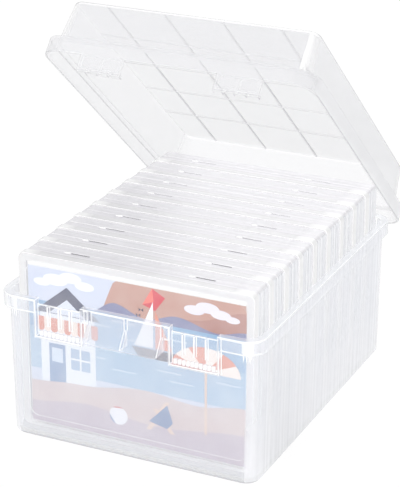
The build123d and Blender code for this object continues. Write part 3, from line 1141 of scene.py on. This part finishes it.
@dataclass
class PicturePrint:
    """The printed card in the first case: a seaside picture in thin layers of ink on paper.

    Sizes are in mm, and places on the card go from its lower left corner.
    """

    width: float = 153.6
    height: float = 111.6
    border: float = 3.3
    foot: float = -3.1
    foot_border: float = 0.5
    layer: float = 0.003
    front: float = 0.02
    ink_depth: float = 0.28
    gamma: float = 2.2
    disc_steps: int = 28
    band_steps: int = 8
    cloud_rise: float = 0.45
    mesh: bmesh.types.BMesh = field(default_factory=bmesh.new)
    count: int = 0
    face: float = field(init=False)
    low: float = field(init=False)

    def patch(self, ink: Ink, points: list[Point], over: bool = True) -> None:
        """Lay one flat patch of ink.

        Args:
            ink: Its ink.
            points: Its outline, in mm from the card's lower left corner.
            over: Whether it lies over the patch before it, or beside it.
        """
        self.count += over
        colours = self.mesh.loops.layers.float_color["ink"]
        depth = self.face + (self.ink_depth - self.layer * self.count) * MM
        foot, top = self.foot + self.foot_border, self.height - self.border
        corners = []
        for u, v in points:
            across = (min(max(u, 0.0), self.width) - self.width / 2) * MM
            height = self.low + min(max(v, foot), top) * MM
            corners.append(self.mesh.verts.new((across, depth, height)))
        shape = self.mesh.faces.new(corners)
        shape.normal_update()
        if shape.normal.y > 0:
            shape.normal_flip()
        linear = [(value / 255.0) ** self.gamma for value in ink.value]
        for loop in shape.loops:
            loop[colours] = (*linear, 1.0)

    def box(self, ink: Ink, u: float, v: float, width: float, height: float) -> None:
        """Lay a rectangle from its lower left corner."""
        self.patch(ink, [(u, v), (u + width, v), (u + width, v + height), (u, v + height)])

    def disc(
        self, ink: Ink, middle: Point, reach: Point, start: float = 0.0, stop: float = 360.0
    ) -> None:
        """Lay an ellipse or a part of it.

        Args:
            ink: Its ink.
            middle: Its middle, in mm.
            reach: Its half width and half height, in mm.
            start: Where the part starts, in degrees.
            stop: Where it ends, in degrees.
        """
        steps, sweep = self.disc_steps, stop - start
        turns = [math.radians(start + sweep * step / steps) for step in range(steps + 1)]
        points = self.arc(middle, reach, turns)
        self.patch(ink, points[:-1] if sweep >= 360.0 else points)

    def arc(self, middle: Point, reach: Point, turns: list[float]) -> list[Point]:
        """Find places on an ellipse.

        Args:
            middle: Its middle, in mm.
            reach: Its half width and half height, in mm.
            turns: The angle of each place, in radians.

        Returns:
            The places.
        """
        (u, v), (across, up) = middle, reach
        return [(u + across * math.cos(turn), v + up * math.sin(turn)) for turn in turns]

    def band(self, ink: Ink, tops: list[Point], bottom: float) -> None:
        """Lay a band with a smooth upper edge.

        Args:
            ink: Its ink.
            tops: Places on its upper edge from left to right, in mm.
            bottom: The level of its lower edge, in mm.
        """
        edge = []
        for (u0, v0), (u1, v1) in zip(tops, tops[1:]):
            for step in range(self.band_steps):
                t = step / self.band_steps
                ease = t * t * (3 - 2 * t)
                edge.append((u0 + (u1 - u0) * t, v0 + (v1 - v0) * ease))
        edge.append(tops[-1])
        for number, ((u0, v0), (u1, v1)) in enumerate(zip(edge, edge[1:])):
            self.patch(ink, [(u0, bottom), (u1, bottom), (u1, v1), (u0, v0)], number == 0)

    def paper(self, back: float) -> None:
        """Add the paper behind the ink.

        Args:
            back: The place of its back along Y, in metres.
        """
        front = self.face + self.ink_depth * MM
        size = (self.width * MM, back - front, (self.height - self.foot) * MM)
        middle = (0.0, (front + back) / 2, self.low + (self.height + self.foot) / 2 * MM)
        sheet = bmesh.ops.create_cube(self.mesh, size=1.0)["verts"]
        bmesh.ops.scale(self.mesh, vec=size, verts=sheet)
        bmesh.ops.translate(self.mesh, vec=middle, verts=sheet)
        for face in {face for vert in sheet for face in vert.link_faces}:
            face.material_index = 1

    def build(self) -> None:
        """Lay the picture's layers on the paper and dress them."""
        low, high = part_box("picture_card")
        self.face, self.low = low[1] + self.front * MM, low[2]
        self.mesh.loops.layers.float_color.new("ink")
        self.box(Ink.SKY, 0, self.foot, self.width, self.height - self.foot)
        self.sky()
        self.sea()
        self.hut()
        self.beach()
        self.paper(high[1])
        mesh = bpy.data.meshes.new("picture")
        self.mesh.to_mesh(mesh)
        self.mesh.free()
        mesh.materials.append(PrintedCard("picture_ink").build())
        mesh.materials.append(Paper("picture_paper").build())
        piece = linked("picture", mesh)
        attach(piece, "case_1")
        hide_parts("picture_card")
        log.info("picture: %d patches of ink on paper", self.count)

    def sky(self) -> None:
        """Lay the evening sky, its clouds and the kite."""
        self.band(Ink.DUSK, [(48, 80), (66, 111.6), (153.6, 111.6)], 60)
        self.band(Ink.DEEP_DUSK, [(92, 84), (118, 92), (153.6, 103)], 60)
        for u, v, size in ((20, 101, 9), (31, 104, 8), (41, 100, 7), (10, 98, 6)):
            self.disc(Ink.CLOUD, (u, v), (size, size * self.cloud_rise))
        for u, v, size in ((118, 99, 7), (127, 102, 8), (136, 99, 7), (144, 97, 5)):
            self.disc(Ink.DIM_CLOUD, (u, v), (size, size * self.cloud_rise))
        self.patch(Ink.KITE_RED, [(82, 96), (89, 108), (98, 103), (91, 93)])
        self.patch(Ink.KITE_PINK, [(82, 96), (89, 108), (90, 99)])
        for u, v in ((81, 92), (79, 88), (80.5, 84)):
            self.patch(Ink.KITE_TAIL, [(u - 1.6, v + 1.2), (u, v), (u - 1.6, v - 1.2)])
            self.patch(Ink.KITE_TAIL, [(u + 1.6, v + 1.2), (u, v), (u + 1.6, v - 1.2)])

    def sea(self) -> None:
        """Lay the hills, the sea and the sailing boat."""
        self.band(Ink.HILLS, [(44, 84), (62, 93), (84, 86), (106, 92), (134, 86), (153.6, 90)], 70)
        self.box(Ink.SEA, 0, 62, self.width, 23)
        self.band(Ink.SHALLOWS, [(0, 66), (50, 62), (100, 67), (153.6, 63)], 36)
        for v, shift in ((80, 60), (75, 96), (69, 70), (59, 52), (52, 92), (46, 60)):
            for step in range(3):
                self.box(Ink.WAVE, (shift + step * 41) % 136, v, 17, 0.9)
        self.patch(Ink.HULL, [(74, 66), (106, 66), (101, 59.5), (79, 59.5)])
        self.patch(Ink.CHALK, [(89.5, 67), (89.5, 99), (76, 67)])
        self.patch(Ink.JIB, [(91, 67), (91, 93), (103, 67)])

    def hut(self) -> None:
        """Lay the beach hut with its striped awning."""
        self.box(Ink.HUT_WALL, 8, 26, 40, 52)
        self.patch(Ink.ROOF, [(4, 77), (28, 97), (52, 77)])
        self.patch(Ink.GABLE, [(15, 77.6), (28, 88.5), (41, 77.6)])
        for stripe in range(9):
            ink = Ink.AWNING_RED if stripe % 2 == 0 else Ink.AWNING_CREAM
            self.box(ink, 6 + stripe * 4.9, 66, 4.9, 8)
            self.disc(ink, (8.45 + stripe * 4.9, 66), (2.45, 2.2), 180, 360)
        self.box(Ink.DOOR, 14, 28, 12, 28)
        self.box(Ink.DOOR_PANE, 16, 43, 8, 10)
        self.box(Ink.WINDOW, 30, 40, 14, 15)
        self.box(Ink.CHALK, 36.4, 40, 1.2, 15)
        self.box(Ink.CHALK, 30, 46.9, 14, 1.2)

    def beach(self) -> None:
        """Lay the sand, the parasol, the deck chair and the ball."""
        self.band(Ink.SAND, [(0, 27), (36, 30), (84, 36), (120, 33), (153.6, 38)], self.foot)
        self.band(Ink.WET_SAND, [(0, 12), (40, 17), (90, 12), (153.6, 19)], self.foot)
        self.box(Ink.POLE, 125.2, 14, 1.6, 46)
        hub = (126, 58)
        for wedge in range(6):
            ink = Ink.PARASOL_RED if wedge % 2 == 0 else Ink.PARASOL_CREAM
            turns = [math.radians(180 - wedge * 30 - step * 7.5) for step in range(5)]
            self.patch(ink, [hub, *self.arc(hub, (24, 17), turns)])
        self.patch(Ink.CHAIR_WOOD, [(84, 9), (87.5, 9), (101, 31), (97.5, 31)])
        self.patch(Ink.CHAIR_WOOD, [(101, 9), (104.5, 9), (92, 25), (88.5, 25)])
        self.patch(Ink.CHAIR_CLOTH, [(86, 15), (99, 12), (103, 17), (99, 29)])
        ball = (64, 14)
        self.disc(Ink.BALL_WHITE, ball, (6.5, 6.5))
        self.disc(Ink.BALL_RED, ball, (6.5, 6.5), 60, 130)
        self.disc(Ink.BALL_BLUE, ball, (6.5, 6.5), 180, 250)
        for u, v in ((20, 9), (31, 5), (48, 8), (114, 8), (138, 12), (146, 5)):
            self.disc(Ink.PEBBLE, (u, v), (2.0, 0.9))


@dataclass(frozen=True)
class Lamp:
    """A soft square lamp: its name, its place and side in metres, and its power in watts."""

    name: str
    place: Place
    size: float
    power: float

    def build(self, target: Vector) -> None:
        """Add the lamp.

        Args:
            target: The place that it faces.
        """
        data = bpy.data.lights.new(self.name, "AREA")
        data.size = self.size
        data.energy = self.power
        lamp = linked(self.name, data)
        lamp.location = self.place
        way = target - Vector(self.place)
        lamp.rotation_euler = way.to_track_quat("-Z", "Y").to_euler()


@dataclass
class Studio:
    """Floor, lamps and camera."""

    camera_place: Place = (0.5018, -1.0626, 0.5930)
    camera_pitch: float = 67.53
    camera_turn: float = 25.42
    lens: float = 170.95
    sensor: float = 36.0
    floor_size: float = 12.0
    floor_colour: Colour = (0.86, 0.86, 0.86)
    floor_glow: float = 1.03
    glow_share: float = 0.88
    sky_strength: float = 0.62
    clear_layers: int = 64
    target: Place = (0.0, 0.0, 0.08)
    lamps: tuple[Lamp, ...] = (
        Lamp("key", (-0.9, -1.3, 1.9), 1.2, 21.0),
        Lamp("fill", (1.25, -1.25, 0.8), 1.4, 15.0),
        Lamp("back", (-0.2, 1.7, 1.2), 1.4, 10.0),
    )

    def build(self) -> None:
        """Add the floor, the world, the lamps and the camera."""
        self.floor()
        self.world()
        for lamp in self.lamps:
            lamp.build(Vector(self.target))
        self.camera()
        scene = bpy.context.scene
        scene.view_settings.view_transform = "Standard"
        scene.cycles.transparent_max_bounces = self.clear_layers
        log.info("studio: floor, world, %d lamps and camera", len(self.lamps))

    def floor(self) -> None:
        """Add the pale floor."""
        mesh = bpy.data.meshes.new("floor")
        half = self.floor_size / 2
        corners = [(-half, -half, 0), (half, -half, 0), (half, half, 0), (-half, half, 0)]
        mesh.from_pydata(corners, [], [(0, 1, 2, 3)])
        floor = linked("floor", mesh)
        graph = Graph("floor_white")
        matt = graph.add("BsdfDiffuse", {"Color": self.floor_colour})
        glow = graph.add("Emission", {"Strength": self.floor_glow})
        looked_at = graph.add("LightPath").outputs["Is Camera Ray"]
        share = graph.work_out("MULTIPLY", looked_at, self.glow_share)
        mesh.materials.append(graph.finish(graph.mix(share, matt, glow)))

    def world(self) -> None:
        """Light everything evenly."""
        world = bpy.data.worlds.new("studio")
        bpy.context.scene.world = world
        world.use_nodes = True
        background = world.node_tree.nodes["Background"]
        background.inputs["Color"].default_value = (*WHITE, 1.0)
        background.inputs["Strength"].default_value = self.sky_strength

    def camera(self) -> None:
        """Add the camera."""
        data = bpy.data.cameras.new("camera")
        data.sensor_fit = "HORIZONTAL"
        data.sensor_width = self.sensor
        data.lens = self.lens
        camera = linked("camera", data)
        camera.location = self.camera_place
        pitch, turn = math.radians(self.camera_pitch), math.radians(self.camera_turn)
        camera.rotation_euler = (pitch, 0.0, turn)
        bpy.context.scene.camera = camera


def main() -> None:
    """Build the classes in order and report each piece."""
    logging.basicConfig(level=logging.INFO, format="%(message)s")
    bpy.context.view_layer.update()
    Studio().build()
    rows = row_recipe()
    Bin().build(rows)
    Lid().build()
    finishes = CaseFinishes().build()
    for number in range(1, 1 + sum(1 for node in frame["nodes"] if node.endswith("_cover"))):
        PhotoCase(number, finishes).build(rows)
    PicturePrint().build()


if __name__ == "__main__":
    main()
